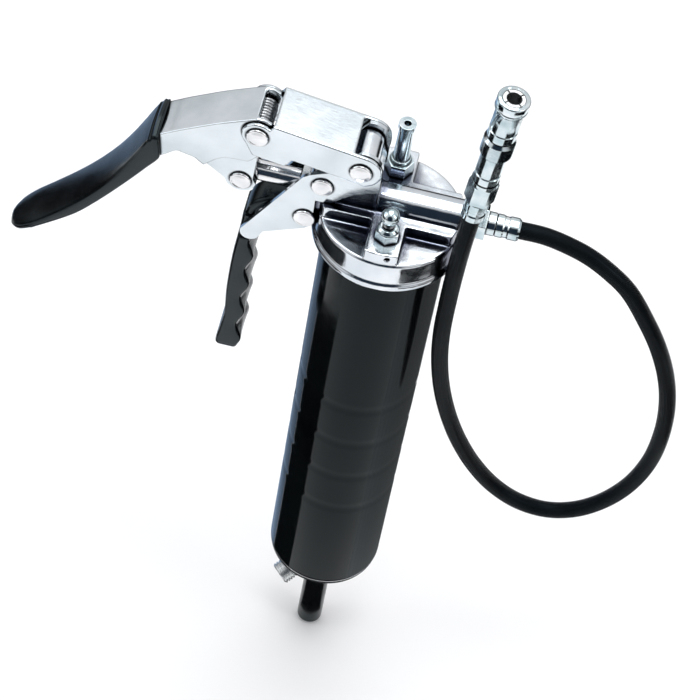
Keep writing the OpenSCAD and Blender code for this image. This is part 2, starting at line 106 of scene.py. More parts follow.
def finish_piece(name, bm, node, *also, sharp=None):
    """Turns a bmesh into a smooth piece that stands for a CAD node, and for others on the same body.

    Edges steeper than sharp degrees stay crisp.
    """
    bmesh.ops.recalc_face_normals(bm, faces=bm.faces)
    for face in bm.faces:
        face.smooth = True
    if sharp is not None:
        for edge in bm.edges:
            if len(edge.link_faces) == 2 and edge.calc_face_angle(0) > math.radians(sharp):
                edge.smooth = False
    mesh = bpy.data.meshes.new(name)
    bm.to_mesh(mesh)
    bm.free()
    piece = bpy.data.objects.new(name, mesh)
    bpy.context.scene.collection.objects.link(piece)
    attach(piece, BODY_OF[node])
    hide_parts(node, *also)
    mesh.materials.append(MATERIALS[SLOT_OF[node]])
    return piece


def skin_rings(bm, rings):
    """Joins equal rings of points with faces, closes both ends, and returns the vertices."""
    grid = [[bm.verts.new(point) for point in ring] for ring in rings]
    count = len(grid[0])
    for here, there in zip(grid, grid[1:]):
        for k in range(count):
            bm.faces.new((here[k], here[(k + 1) % count], there[(k + 1) % count], there[k]))
    cap_ends(bm, grid)
    return grid


def cap_ends(bm, grid):
    """Closes the first and last ring of a skin."""
    bm.faces.new(grid[0])
    bm.faces.new(list(reversed(grid[-1])))


def lathe(bm, profile, place, segments=96, radius_at=None):
    """A closed solid turned from (radius, height) points in mm.

    radius_at may change the radius round the turn.
    """
    rings = []
    for k in range(segments):
        turn = 2 * math.pi * k / segments
        ring = []
        for row, (radius, height) in enumerate(profile):
            r = radius_at(row, k, radius) if radius_at else radius
            ring.append(place @ Vector((r * math.cos(turn) * MM, r * math.sin(turn) * MM, height * MM)))
        rings.append(ring)
    closed = all(radius > 1e-6 for radius, _ in (profile[0], profile[-1]))
    grid = [[bm.verts.new(point) for point in ring] for ring in rings]
    rows = len(profile)
    for k in range(segments):
        here, there = grid[k], grid[(k + 1) % segments]
        for i in range(rows if closed else rows - 1):
            j = (i + 1) % rows
            bm.faces.new((here[i], here[j], there[j], there[i]))
    bmesh.ops.remove_doubles(bm, verts=bm.verts, dist=1e-7)


def arc(centre, radius, start, end, steps=6):
    """Points of an arc in the profile plane, with its angles in degrees."""
    angles = [math.radians(start + (end - start) * i / steps) for i in range(steps + 1)]
    return [(centre[0] + radius * math.cos(a), centre[1] + radius * math.sin(a)) for a in angles]


def axis_place(at, axis):
    """A matrix that stands local +Z along axis at a point."""
    return Matrix.Translation(at) @ Vector((0, 0, 1)).rotation_difference(Vector(axis)).to_matrix().to_4x4()


def smooth_line(points, steps):
    """A Catmull-Rom curve through points, of any dimension."""
    line = []
    for i in range(len(points) - 1):
        a, b = points[max(i - 1, 0)], points[i]
        c, d = points[i + 1], points[min(i + 2, len(points) - 1)]
        for k in range(steps):
            t = k / steps
            line.append(tuple(
                0.5 * (2 * b[j] + (c[j] - a[j]) * t + (2 * a[j] - 5 * b[j] + 4 * c[j] - d[j]) * t * t
                       + (3 * b[j] - a[j] - 3 * c[j] + d[j]) * t ** 3) for j in range(len(b))))
    line.append(tuple(points[-1]))
    return line


def tube_frames(path):
    """A point, a side and an up direction for each point of a path, without twist."""
    frames, side = [], None
    for i, point in enumerate(path):
        ahead = (Vector(path[min(i + 1, len(path) - 1)]) - Vector(path[max(i - 1, 0)])).normalized()
        if side is None:
            side = ahead.orthogonal().normalized()
        side = (side - ahead * side.dot(ahead)).normalized()
        frames.append((Vector(point), side, ahead.cross(side)))
    return frames


def circle(centre, side, up, radius, sides):
    """Points of a circle in the plane of two directions."""
    turns = [2 * math.pi * k / sides for k in range(sides)]
    return [centre + (side * math.cos(turn) + up * math.sin(turn)) * radius for turn in turns]


def wire(bm, path, radius, sides=12):
    """A round wire along a path in metres, with narrowed ends."""
    frames = tube_frames(path)
    rings = []
    for i, (point, side, up) in enumerate(frames):
        narrowed = WIRE_END if i in (0, len(frames) - 1) else 1
        rings.append(circle(point, side, up, radius * narrowed, sides))
    skin_rings(bm, rings)


def merged(node):
    """A CAD node's surface as a bmesh with shared corners and flat faces joined."""
    weld, flat = 2e-6, math.radians(0.8)
    bm = bmesh.new()
    bm.from_mesh(NODES[node].data)
    bmesh.ops.remove_doubles(bm, verts=bm.verts, dist=weld)
    bmesh.ops.dissolve_limit(bm, angle_limit=flat, verts=bm.verts, edges=bm.edges)
    return bm


def dressed(name, node, width, segments):
    """A copy of a CAD node with its corners rounded by width in mm."""
    bm = merged(node)
    corners = [edge for edge in bm.edges if len(edge.link_faces) == 2
               and edge.calc_face_angle(0) > math.radians(32)]
    bmesh.ops.bevel(bm, geom=corners, offset=width * MM, segments=segments, profile=0.5,
                    affect="EDGES", clamp_overlap=True, offset_type="OFFSET")
    piece = finish_piece(name, bm, node, sharp=40)
    weigh = piece.modifiers.new("even_shading", "WEIGHTED_NORMAL")
    weigh.keep_sharp = True
    return piece


def rounded_ring(half_w, half_h, radius, crown=0.0, steps=5):
    """(across, up) points of a rounded rectangle with a crowned top, always equal in number."""
    radius = min(radius, half_w * 0.98, half_h * 0.98)
    points = []
    for quarter, (sx, sz) in enumerate(((1, 1), (-1, 1), (-1, -1), (1, -1))):
        for k in range(steps + 1):
            a = math.radians(90 * (quarter + k / steps))
            points.append((sx * (half_w - radius) + radius * math.cos(a),
                           sz * (half_h - radius) + radius * math.sin(a)))
        if quarter in (0, 2):  # the long top and bottom runs, from one side to the other
            across = 1 if quarter == 0 else -1
            for k in range(1, 6):
                points.append((across * (half_w - radius) * (1 - k / 3), sz * half_h))
    return [(x, z + (crown * (1 - (x / half_w) ** 2) if z > 0 else 0)) for x, z in points]


# ---------- materials ----------

class Shader:
    """A Principled material with its texture nodes placed in the row frame's metres."""

    def __init__(self, name, metallic, roughness, **constants):
        self.material = bpy.data.materials.new(name)
        self.material.use_nodes = True
        self.tree = self.material.node_tree
        self.tree.nodes.clear()
        self.bsdf = self.node("ShaderNodeBsdfPrincipled")
        self.link(self.bsdf.outputs["BSDF"], self.node("ShaderNodeOutputMaterial").inputs["Surface"])
        self.bsdf.inputs["Metallic"].default_value = metallic
        self.bsdf.inputs["Roughness"].default_value = roughness
        for socket, value in constants.items():
            self.bsdf.inputs[socket.replace("_", " ")].default_value = value
        self.place = self.node("ShaderNodeTexCoord").outputs["Object"]

    def node(self, kind, **values):
        made = self.tree.nodes.new(kind)
        for key, value in values.items():
            if key in made.inputs:
                made.inputs[key].default_value = value
            else:
                setattr(made, key, value)
        return made

    def link(self, source, target):
        self.tree.links.new(source, target)

    def stretched(self, scale):
        """The position with each axis scaled on its own."""
        mapping = self.node("ShaderNodeMapping", Scale=scale)
        self.link(self.place, mapping.inputs["Vector"])
        return mapping.outputs["Vector"]

    def noise(self, scale, detail=3.0, rough=0.5, at=None):
        made = self.node("ShaderNodeTexNoise", Scale=scale, Detail=detail, Roughness=rough)
        self.link(at or self.place, made.inputs["Vector"])
        return made.outputs["Fac"]

    def grains(self, scale):
        """Small round cells, as distance from their centres."""
        made = self.node("ShaderNodeTexVoronoi", Scale=scale)
        self.link(self.place, made.inputs["Vector"])
        return made.outputs["Distance"]

    def ramp(self, factor, *stops):
        made = self.node("ShaderNodeValToRGB")
        elements = made.color_ramp.elements
        while len(elements) < len(stops):
            elements.new(0.5)
        for element, (at, colour) in zip(elements, stops):
            element.position = at
            element.color = (*colour, 1)
        self.link(factor, made.inputs["Fac"])
        return made.outputs["Color"]

    def spread(self, factor, low, high, start=0.3, end=0.7):
        """The factor's span from start to end, mapped to low and high."""
        made = self.node("ShaderNodeMapRange")
        for socket, value in zip(("From Min", "From Max", "To Min", "To Max"), (start, end, low, high)):
            made.inputs[socket].default_value = value
        self.link(factor, made.inputs["Value"])
        return made.outputs["Result"]

    def mix(self, factor, a, b):
        """Colour a going over to b. The Mix node keeps its colours in sockets 6 and 7."""
        made = self.node("ShaderNodeMix", data_type="RGBA")
        self.link(factor, made.inputs[0])
        self.link(a, made.inputs[6])
        self.link(b, made.inputs[7])
        return made.outputs[2]

    def painted_ao_shade(self, unshaded_colour, reach, full, none, painted_shade_colour):
        """Painted shade: the unshaded colour, going over to a dark shade colour where walls stand within
        reach in mm, by ambient occlusion.
        """
        shade = self.node("ShaderNodeAmbientOcclusion", Distance=reach * MM)
        made = self.node("ShaderNodeRGB")
        made.outputs[0].default_value = (*painted_shade_colour, 1)
        return self.mix(self.spread(shade.outputs["AO"], 0.0, 1.0, full, none), made.outputs[0], unshaded_colour)

    def colour(self, source):
        self.link(source, self.bsdf.inputs["Base Color"])

    def rough(self, source):
        self.link(source, self.bsdf.inputs["Roughness"])

    def bump(self, *layers):
        """Bump from (height source, distance in mm, strength) layers, one on top of the other."""
        below = None
        for height, distance, strength in layers:
            made = self.node("ShaderNodeBump", Strength=strength, Distance=distance * MM)
            self.link(height, made.inputs["Height"])
            if below:
                self.link(below, made.inputs["Normal"])
            below = made.outputs["Normal"]
        self.link(below, self.bsdf.inputs["Normal"])


def barrel_paint():
    """Stoved gloss black enamel, with faint orange peel and dust."""
    s = Shader("barrel_paint", 0.0, 0.08, Specular_IOR_Level=0.11, Specular_Tint=(0.55, 0.88, 1.0, 1))
    s.colour(s.ramp(s.noise(35, 5), (0.3, (0.0012, 0.0016, 0.0020)), (0.7, (0.0030, 0.0042, 0.0046))))
    s.rough(s.spread(s.noise(160, 6, 0.7), 0.05, 0.13))
    s.bump((s.noise(900, 2), 0.03, 0.06), (s.noise(60, 3), 0.5, 0.03))
    return s.material


def chrome_casting():
    """Bright chrome over a cast and barrelled surface, a little uneven, with painted shade in its corners,
    near the plates and along its contacts.
    """
    s = Shader("chrome_casting", 1.0, 0.12)
    unshaded_colour = s.ramp(s.noise(55, 4), (0.3, (0.64, 0.69, 0.74)), (0.7, (0.86, 0.89, 0.92)))
    # Painted shade: a dark colour laid into the concave corners, found by pointiness
    painted_shade_colour = s.ramp(s.noise(300, 5), (0.35, (0.16, 0.18, 0.20)), (0.7, (0.42, 0.46, 0.50)))
    corner = s.node("ShaderNodeNewGeometry").outputs["Pointiness"]
    painted_corner_shade = s.mix(s.spread(corner, 0.0, 1.0, 0.455, 0.492), painted_shade_colour, unshaded_colour)
    # Painted shade where the plates and other parts stand within 24 mm, by ambient occlusion
    painted_plate_shade = s.painted_ao_shade(painted_corner_shade, 24.0, 0.60, 0.74, (0.085, 0.095, 0.135))
    # Painted shade: dark lines along contacts and round the rivets, by ambient occlusion within 1.6 mm
    s.colour(s.painted_ao_shade(painted_plate_shade, 1.6, 0.66, 0.90, (0.012, 0.013, 0.016)))
    s.rough(s.spread(s.noise(120, 6, 0.65), 0.06, 0.19))
    s.bump((s.noise(75, 2), 0.9, 0.22), (s.noise(420, 4, 0.6), 0.12, 0.12), (s.grains(900), 0.03, 0.10))
    return s.material


def chrome_sheet():
    """Bright chrome over rolled sheet, with fine polishing lines along it, light scuffs, and painted shade
    along its contacts.
    """
    s = Shader("chrome_sheet", 1.0, 0.14)
    unshaded_colour = s.ramp(s.noise(40, 5), (0.3, (0.60, 0.66, 0.69)), (0.72, (0.82, 0.87, 0.91)))
    # Painted shade: dark lines where parts meet and round the rivets, by ambient occlusion within 1.6 mm
    s.colour(s.painted_ao_shade(unshaded_colour, 1.6, 0.70, 0.92, (0.012, 0.013, 0.016)))
    lines = s.noise(60, 6, 0.7, s.stretched((3, 40, 14)))
    s.rough(s.spread(lines, 0.08, 0.26))
    s.bump((s.noise(38, 2), 0.8, 0.16), (lines, 0.04, 0.12))
    return s.material


def polished_rivet():
    """Polished steel with turning marks, a few nicks, and a painted shade ring at its foot."""
    s = Shader("polished_rivet", 1.0, 0.10)
    unshaded_colour = s.ramp(s.noise(160, 4), (0.3, (0.74, 0.75, 0.77)), (0.7, (0.93, 0.93, 0.94)))
    # Painted shade: dark ring where the rivet meets the plate, by ambient occlusion within 1.2 mm
    s.colour(s.painted_ao_shade(unshaded_colour, 1.2, 0.70, 0.92, (0.010, 0.010, 0.012)))
    s.rough(s.spread(s.noise(420, 5, 0.7), 0.07, 0.22))
    s.bump((s.noise(260, 2), 0.16, 0.18), (s.grains(700), 0.04, 0.12))
    return s.material


def plated_fitting():
    """Turned fittings in bright zinc plate, with its cool tint, tool lines, and painted shade in their
    corners.
    """
    s = Shader("plated_fitting", 1.0, 0.12)
    unshaded_colour = s.ramp(s.noise(130, 5), (0.28, (0.40, 0.52, 0.56)), (0.5, (0.62, 0.72, 0.75)),
                   (0.74, (0.84, 0.89, 0.91)))
    # Painted shade: dark corners and contacts, by ambient occlusion within 1.4 mm
    s.colour(s.painted_ao_shade(unshaded_colour, 1.4, 0.66, 0.90, (0.012, 0.016, 0.020)))
    s.rough(s.spread(s.noise(500, 5, 0.7), 0.06, 0.18))
    s.bump((s.noise(210, 2), 0.22, 0.16), (s.noise(90, 5, 0.6, s.stretched((2, 2, 26))), 0.03, 0.18))
    return s.material


def plated_steel():
    """Zinc-plated steel, satin, with handling marks."""
    s = Shader("plated_steel", 1.0, 0.26)
    s.colour(s.ramp(s.noise(110, 5), (0.3, (0.50, 0.53, 0.54)), (0.7, (0.78, 0.79, 0.79))))
    s.rough(s.spread(s.noise(300, 5, 0.7), 0.18, 0.38))
    s.bump((s.noise(600, 4), 0.05, 0.16))
    return s.material


def spring_steel():
    """Drawn wire, darker, with lengthwise die lines."""
    s = Shader("spring_steel", 1.0, 0.30)
    s.colour(s.ramp(s.noise(260, 4), (0.3, (0.26, 0.27, 0.28)), (0.7, (0.55, 0.56, 0.57))))
    s.rough(s.spread(s.noise(900, 4, 0.7), 0.22, 0.42))
    s.bump((s.noise(1400, 3), 0.03, 0.20))
    return s.material


def black_rubber():
    """Moulded nitrile rubber, matt, with a slight bloom."""
    s = Shader("black_rubber", 0.0, 0.6)
    s.colour(s.ramp(s.noise(180, 5), (0.3, (0.012, 0.012, 0.012)), (0.75, (0.030, 0.030, 0.031))))
    s.rough(s.spread(s.noise(400, 4), 0.5, 0.75))
    s.bump((s.noise(1100, 4), 0.06, 0.25))
    return s.material


def grip_plastic():
    """Dipped vinyl: gloss skin with slow ripples, fine pores and a grey cast where it is handled."""
    s = Shader("grip_plastic", 0.0, 0.3, Specular_IOR_Level=0.38, Specular_Tint=(0.72, 0.93, 1.0, 1))
    s.colour(s.ramp(s.noise(48, 6, 0.6), (0.3, (0.0015, 0.0018, 0.0024)),
                    (0.75, (0.0042, 0.0052, 0.0058))))
    s.rough(s.spread(s.noise(95, 6, 0.7), 0.12, 0.28))
    s.bump((s.noise(70, 3), 0.7, 0.10), (s.noise(1300, 3), 0.05, 0.16))
    return s.material


def hose_rubber():
    """Black rubber hose cover, with the print of the cloth that it was cured in."""
    s = Shader("hose_rubber", 0.0, 0.2, Specular_IOR_Level=0.09, Specular_Tint=(0.5, 0.8, 1.0, 1))
    s.colour(s.ramp(s.noise(120, 5), (0.3, (0.0014, 0.0016, 0.0020)), (0.75, (0.0040, 0.0046, 0.0052))))
    along = s.node("ShaderNodeUVMap", uv_map=HOSE_UV).outputs["UV"]
    cloth = s.node("ShaderNodeTexBrick", Scale=1.0, offset=0.5)
    for socket, value in (("Mortar Size", 0.16), ("Mortar Smooth", 0.9), ("Brick Width", 0.9),
                          ("Row Height", 0.62), ("Color1", (1, 1, 1, 1)), ("Color2", (1, 1, 1, 1)),
                          ("Mortar", (0, 0, 0, 1))):
        cloth.inputs[socket].default_value = value
    s.link(along, cloth.inputs["Vector"])
    s.rough(s.spread(s.noise(260, 5, 0.7), 0.10, 0.20))
    s.bump((cloth.outputs["Color"], 0.32, 0.5), (s.noise(900, 3), 0.04, 0.15))
    return s.material


MATERIALS = {make.__name__: make() for make in (
    barrel_paint, chrome_casting, chrome_sheet, polished_rivet, plated_fitting, plated_steel,
    spring_steel, black_rubber, grip_plastic, hose_rubber)}


def paint_cad_nodes():
    """Gives each CAD node the material of its slot."""
    for name, obj in NODES.items():
        obj.data.materials.clear()
        obj.data.materials.append(MATERIALS[SLOT_OF[name]])


# ---------- hose ----------

# Centre line of the hose from the outlet ferrule to the coupler, as in the CAD model, in metres
HOSE_ROUTE = [
    (0.057, 0, 0.022), (0.068, 0, 0.022), (0.079, -0.0005, 0.020), (0.090, -0.001, 0.016),
    (0.101, -0.0015, 0.009), (0.111, -0.002, 0), (0.121, -0.003, -0.014), (0.131, -0.004, -0.031),
    (0.139, -0.005, -0.050), (0.144, -0.006, -0.070), (0.146, -0.007, -0.091), (0.145, -0.008, -0.112),
    (0.140, -0.009, -0.132), (0.131, -0.010, -0.149), (0.119, -0.011, -0.161), (0.105, -0.012, -0.166),
    (0.090, -0.013, -0.163), (0.076, -0.014, -0.153), (0.064, -0.015, -0.138), (0.054, -0.016, -0.120),
    (0.046, -0.017, -0.100), (0.040, -0.018, -0.079), (0.036, -0.019, -0.057), (0.034, -0.020, -0.035),
    (0.0335, -0.020, -0.014), (0.0335, -0.020, 0.006), (0.034, -0.0194, 0.026), (0.035, -0.018, 0.046)
]
HOSE_DIAMETER = 0.008
HOSE_SIDES = 28
HOSE_STEPS = 14  # rings between two points of the route
CLOTH_CELL = 1.15 * MM  # one thread of the cloth print


def make_hose():
    """The hose as a tube along its route, mapped along and round it in threads of the cloth."""
    path = [Vector(point) for point in smooth_line(HOSE_ROUTE, HOSE_STEPS)]
    frames = tube_frames(path)
    runs = [0.0]
    for here, there in zip(path, path[1:]):
        runs.append(runs[-1] + (there - here).length)
    bm = bmesh.new()
    wrap = bm.loops.layers.uv.new(HOSE_UV)
    grid = [[bm.verts.new(point) for point in circle(*ring, HOSE_DIAMETER / 2, HOSE_SIDES)]
            for ring in frames]
    threads = round(math.pi * HOSE_DIAMETER / CLOTH_CELL)
    for i in range(len(grid) - 1):
        for k in range(HOSE_SIDES):
            n = (k + 1) % HOSE_SIDES
            face = bm.faces.new((grid[i][k], grid[i][n], grid[i + 1][n], grid[i + 1][k]))
            for loop, (row, col) in zip(face.loops, ((i, k), (i, k + 1), (i + 1, k + 1), (i + 1, k))):
                loop[wrap].uv = (runs[row] / CLOTH_CELL, threads * col / HOSE_SIDES)
    cap_ends(bm, grid)
    piece = finish_piece("hose_cover", bm, "hose", sharp=60)
    return piece, path, runs[-1]


# ---------- barrel ----------

# Rolled bands: heights, depth and half width, all in mm
BAND_HEIGHTS = (-100, -128, -156, -184)
BAND_DEPTH = 0.14
BAND_HALF = 5.0
BAND_STEPS = 16

TUBE_WALL = 1.5
STUB_STEP = 0.3  # how much the stub inside the collar is smaller
FOOT_ROUND = 1.2


def make_barrel():
    """The tube with its rolled bands as soft grooves."""
    low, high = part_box("barrel_tube")
    radius, foot, top = high.x / MM, low.z / MM, high.z / MM
    bore, stub = radius - TUBE_WALL, radius - STUB_STEP
    outer = arc((radius - FOOT_ROUND, foot + FOOT_ROUND), FOOT_ROUND, -90, 0)
    for height in reversed(BAND_HEIGHTS):
        for k in range(BAND_STEPS + 1):
            off = BAND_HALF * (2 * k / BAND_STEPS - 1)
            groove = BAND_DEPTH * 0.5 * (1 + math.cos(math.pi * off / BAND_HALF))
            outer.append((radius - groove, height + off))
    collar_edge = [(radius, -0.4), (radius, 0), (stub, 0.0)]
    profile = [(bore, foot)] + outer + collar_edge + [(stub, top), (bore, top)]
    bm = bmesh.new()
    lathe(bm, profile, Matrix.Identity(4), segments=160)
    return finish_piece("barrel_shell", bm, "barrel_tube", sharp=50)


def make_end_cap():
    """The pressed end cap, with a round lip and a bare bright rim where it meets the tube."""
    low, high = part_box("end_cap")
    foot, top, radius = low.z / MM, high.z / MM, high.x / MM
    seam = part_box("barrel_tube")[0].z / MM - 0.02
    bore, plug, boss, lip = 3.28, 26.98, 1.5, 1.8
    profile = [(bore, top), (plug, top), (plug, seam), (radius - 0.35, seam), (radius, seam - 0.35)]
    profile += arc((radius - lip, foot + boss + lip), lip, 0, -90, 7)
    profile += [(9.5, foot + boss), (9, foot), (bore, foot)]
    bm = bmesh.new()
    lathe(bm, profile, Matrix.Identity(4), segments=128)
    finish_piece("pressed_end_cap", bm, "end_cap", sharp=40)
    bm = bmesh.new()
    lathe(bm, [(radius - 1.5, seam - 0.5), (radius + 0.25, seam - 0.5), (radius + 0.38, seam - 0.3),
               (radius + 0.3, seam + 0.02), (radius - 1.5, seam + 0.02)], Matrix.Identity(4), segments=128)
    rim = finish_piece("bare_rim", bm, "end_cap")
    rim.data.materials.clear()
    rim.data.materials.append(MATERIALS["polished_rivet"])


# ---------- pump head ----------

def softened(name, node, voxel, passes):
    """A copy of a CAD node with its edges rounded over: remeshed at a voxel size in mm and relaxed."""
    bm = merged(node)
    bmesh.ops.triangulate(bm, faces=bm.faces)
    piece = finish_piece(name, bm, node)
    remesh = piece.modifiers.new("remesh", "REMESH")
    remesh.mode = "VOXEL"
    remesh.voxel_size = voxel * MM
    remesh.use_smooth_shade = True
    relax = piece.modifiers.new("relax", "SMOOTH")
    relax.factor = 0.5
    relax.iterations = passes
    graph = bpy.context.evaluated_depsgraph_get()
    settled = bpy.data.meshes.new_from_object(piece.evaluated_get(graph))
    piece.modifiers.clear()
    piece.data = settled
    settled.shade_smooth()
    return piece


# Rivets and pivot pins in mm: shank, head and crown radii, head height, and the round of the rim
PIN_SHANK, PIN_HEAD, PIN_CROWN = 3.0, 4.9, 13.0
PIN_HEAD_HEIGHT = 2.0
PIN_RIM = 0.6
CROWN_STEPS = 8


def pin_piece(name, node):
    """A pin across the gun: a shank, and at each end a shallow dome with a tight round rim."""
    low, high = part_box(node)
    centre = (low + high) / 2
    half = (high.y - low.y) / 2 / MM
    seat, dome_r = half - PIN_HEAD_HEIGHT, PIN_HEAD - PIN_RIM

    def dome(radius):
        return half - PIN_CROWN + math.sqrt(PIN_CROWN ** 2 - radius ** 2)

    rim = [(PIN_HEAD, seat)] + arc((dome_r, dome(dome_r) - 0.58), PIN_RIM, 0, 72, 4)
    crown = [dome_r * (1 - k / CROWN_STEPS) for k in range(CROWN_STEPS + 1)]
    profile = [(PIN_SHANK, 0), (PIN_SHANK, seat)] + rim + [(radius, dome(radius)) for radius in crown]
    bm = bmesh.new()
    for side in (1, -1):
        lathe(bm, profile, axis_place(centre, (0, side, 0)), segments=64)
    return finish_piece(name, bm, node, sharp=40)


def make_pins():
    """The three rivets and pins of the head and link, and the two of the handle."""
    for name, node in (("tower_rivet_domed", "tower_rivet"), ("lug_rivet_domed", "lug_rivet"),
                       ("link_pivot_pin", "link_pin"), ("handle_pivot_pin", "handle_pin"),
                       ("plunger_pivot_pin", "plunger_pin")):
        pin_piece(name, node)


def make_return_spring():
    """The torsion spring round the handle pivot, wound in round wire."""
    low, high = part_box("return_spring")
    centre = (low + high) / 2
    wire_r, turns, steps = 0.8 * MM, 8, 28
    coil_r = (high.x - low.x) / 2 - wire_r
    half = (high.y - low.y) / 2 - wire_r
    path = []
    for i in range(turns * steps + 1):
        a = 2 * math.pi * i / steps
        across = half - 2 * half * i / (turns * steps)
        path.append(centre + Vector((coil_r * math.cos(a), across, coil_r * math.sin(a))))
    bm = bmesh.new()
    wire(bm, path, wire_r)
    return finish_piece("torsion_spring", bm, "return_spring")


# ---------- grips ----------

# Palm grip stations from its open end to its tip: top (x, z), lower edge (x, z), half width, in mm
PALM_STATIONS = [
    ((-104.6, 43.2), (-103.2, 27.6), 12.2), ((-107.6, 41.6), (-105.0, 24.4), 12.2),
    ((-110.8, 36.2), (-108.2, 19.6), 12.1), ((-115.2, 26.8), (-111.6, 14.2), 12.0),
    ((-120.6, 15.8), (-116.4, 6.9), 12.0), ((-127.2, 4.4), (-122.2, -1.6), 12.0),
    ((-135.2, -7.2), (-129.8, -12.2), 12.0), ((-144.6, -18.8), (-139.0, -23.6), 12.0),
    ((-154.6, -29.6), (-150.2, -34.0), 11.9), ((-162.8, -37.8), (-159.4, -41.8), 11.3),
    ((-168.2, -43.2), (-165.6, -46.8), 9.6), ((-170.8, -45.9), (-169.0, -48.6), 7.0),
]
PALM_CORNER = 1.7
PALM_CROWN = 1.8
PALM_RIB = 0.4
PALM_RIBS_AT = range(2, 11)  # the rings that carry the ribs
PALM_MOUTH = (0.8, 0.2)  # how far the first rings are drawn in
PALM_TIP_WAY = Vector((-0.72, 0, -0.69))
PALM_TIP = 2.0


def palm_ring(top, low, half):
    """A crowned section between two points of the X-Z plane, half wide each way along Y."""
    top, low = Vector((top[0], 0, top[1])), Vector((low[0], 0, low[1]))
    up = (top - low).normalized()
    centre = (top + low - up * PALM_CROWN) / 2
    height = (top - low).length / 2 - PALM_CROWN / 2
    corner = min(PALM_CORNER, height * 0.8)
    return [(centre + Vector((0, across, 0)) + up * lift) * MM
            for across, lift in rounded_ring(half, height, corner, PALM_CROWN)]


def make_palm_grip():
    """The dipped sleeve over the handle, ribbed at its open end and thinning to a rounded tip."""
    flat = [(*top, *low, half) for top, low, half in PALM_STATIONS]
    line = smooth_line(flat, 6)
    rings = []
    for i, (tx, tz, lx, lz, half) in enumerate(line):
        rib = PALM_RIB * math.sin(i * math.pi / 2) if i in PALM_RIBS_AT else 0.0
        inset = PALM_MOUTH[i] if i < len(PALM_MOUTH) else 0.0
        top, low = Vector((tx, tz)), Vector((lx, lz))
        up = (top - low).normalized()
        rings.append(palm_ring(top + up * (rib - inset), low + up * inset, half - inset))
    last = [Vector(point) for point in rings[-1]]
    centre = sum(last, Vector()) / len(last)
    onward = PALM_TIP_WAY * PALM_TIP * MM
    for shrink, reach in ((0.82, 0.55), (0.5, 0.9)):
        rings.append([centre + (point - centre) * shrink + onward * reach for point in last])
    bm = bmesh.new()
    skin_rings(bm, rings)
    return finish_piece("palm_grip_sleeve", bm, "palm_grip", sharp=55)


# Finger grip in mm: heights of its top, foot and first bump, the bumps' pitch, and its rounded foot
FINGER_TOP, FINGER_FOOT = -2.0, -101.0
FINGER_FIRST_BUMP = -27.6
FINGER_PITCH = 20.9
FINGER_END, FINGER_END_STEPS = 6.2, 8
FINGER_NECK, FINGER_NECK_FOOT = 7.9, 12.0  # half width of its narrow top, and how far down it goes
FINGER_BACK = ((-2, -64.4), (-12, -65.0), (-26, -66.2), (-40, -66.9), (-56, -67.2), (-72, -66.8),
               (-84, -68.0), (-93, -69.2), (-101, -69.2))
FINGER_FRONT = ((-2, -57.8), (-40, -57.8), (-70, -58.3), (-93, -58.4), (-101, -59.4))
# Centre line of the arm that carries the finger grip, from the head's lug down to the grip (x, z)
FINGER_ARM = [(-43.4, 9.7), (-48.4, 9.7), (-54.6, 8.0), (-59.2, 3.8), (-60.6, -2.0), (-61.0, -8.0)]
FINGER_ARM_HALF = (5.4, 5.8, 6.6, 6.9, 6.9, 6.9)


def smooth_at(points, z):
    """The value at z on a smooth curve through (z, value) points that run downwards."""
    line = smooth_line(points, 10)
    for (z0, v0), (z1, v1) in zip(line, line[1:]):
        if z1 <= z <= z0:
            return v0 + (v1 - v0) * (z0 - z) / (z0 - z1)
    return line[-1][1]


def finger_section(z):
    """Back and front along X of the finger grip at a height, in mm, and its wave from -1 to 1."""
    wave = math.cos(2 * math.pi * (z - FINGER_FIRST_BUMP) / FINGER_PITCH)
    return smooth_at(FINGER_BACK, z), smooth_at(FINGER_FRONT, z), wave


def finger_ring(back, front, wave, half, z):
    """One section of the finger grip: flat sides, a rounded back and a waved front."""
    depth, centre = (front - back) / 2, (front + back) / 2
    ring = []
    for across, ahead in rounded_ring(half, depth, 1.7):
        edge = abs(across / half)
        if ahead > 0:
            ahead += (1.25 * wave - 0.35) * (0.55 + 0.75 * edge ** 2) * min(ahead / depth, 1.0)
        ring.append(Vector((centre + ahead, across, z)) * MM)
    return ring


def make_finger_grip():
    """The moulded finger grip, with four bumps between grooves that cut deeper at its edges."""
    low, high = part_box("finger_grip")
    half_wide = (high.y - low.y) / 2 / MM
    rings = []
    heights = [FINGER_TOP - k for k in range(math.ceil(FINGER_TOP - FINGER_FOOT - FINGER_END) + 1)]
    for z in heights:
        back, front, wave = finger_section(z)
        widen = min(max((-z - FINGER_NECK_FOOT) / 3.0, 0.0), 1.0)
        half = FINGER_NECK + (half_wide - FINGER_NECK) * widen * widen * (3 - 2 * widen)
        rings.append(finger_ring(back, front, wave * widen, half, z))
    back, front, wave = finger_section(heights[-1])
    centre = (back + front) / 2
    for k in range(1, FINGER_END_STEPS):
        a = math.radians(90 * k / FINGER_END_STEPS)
        shrink, drop = math.cos(a), FINGER_END * math.sin(a)
        rings.append(finger_ring(centre + (back - centre) * shrink, centre + (front - centre) * shrink,
                                 wave * shrink, half_wide * (0.35 + 0.65 * shrink) * (0.6 + 0.4 * shrink),
                                 heights[-1] - drop))
    bm = bmesh.new()
    skin_rings(bm, rings)
    arm = []
    line = smooth_line([(x, z, half) for (x, z), half in zip(FINGER_ARM, FINGER_ARM_HALF)], 6)
    for i, (x, z, half) in enumerate(line):
        before, after = line[max(i - 1, 0)], line[min(i + 1, len(line) - 1)]
        up = Vector((after[1] - before[1], 0, before[0] - after[0])).normalized()
        arm.append([(Vector((x, across, z)) + up * lift) * MM
                    for across, lift in rounded_ring(half, 2.7, 1.8, 0.5)])
    skin_rings(bm, arm)
    return finish_piece("finger_grip_moulding", bm, "finger_grip", "grip_core", sharp=60)


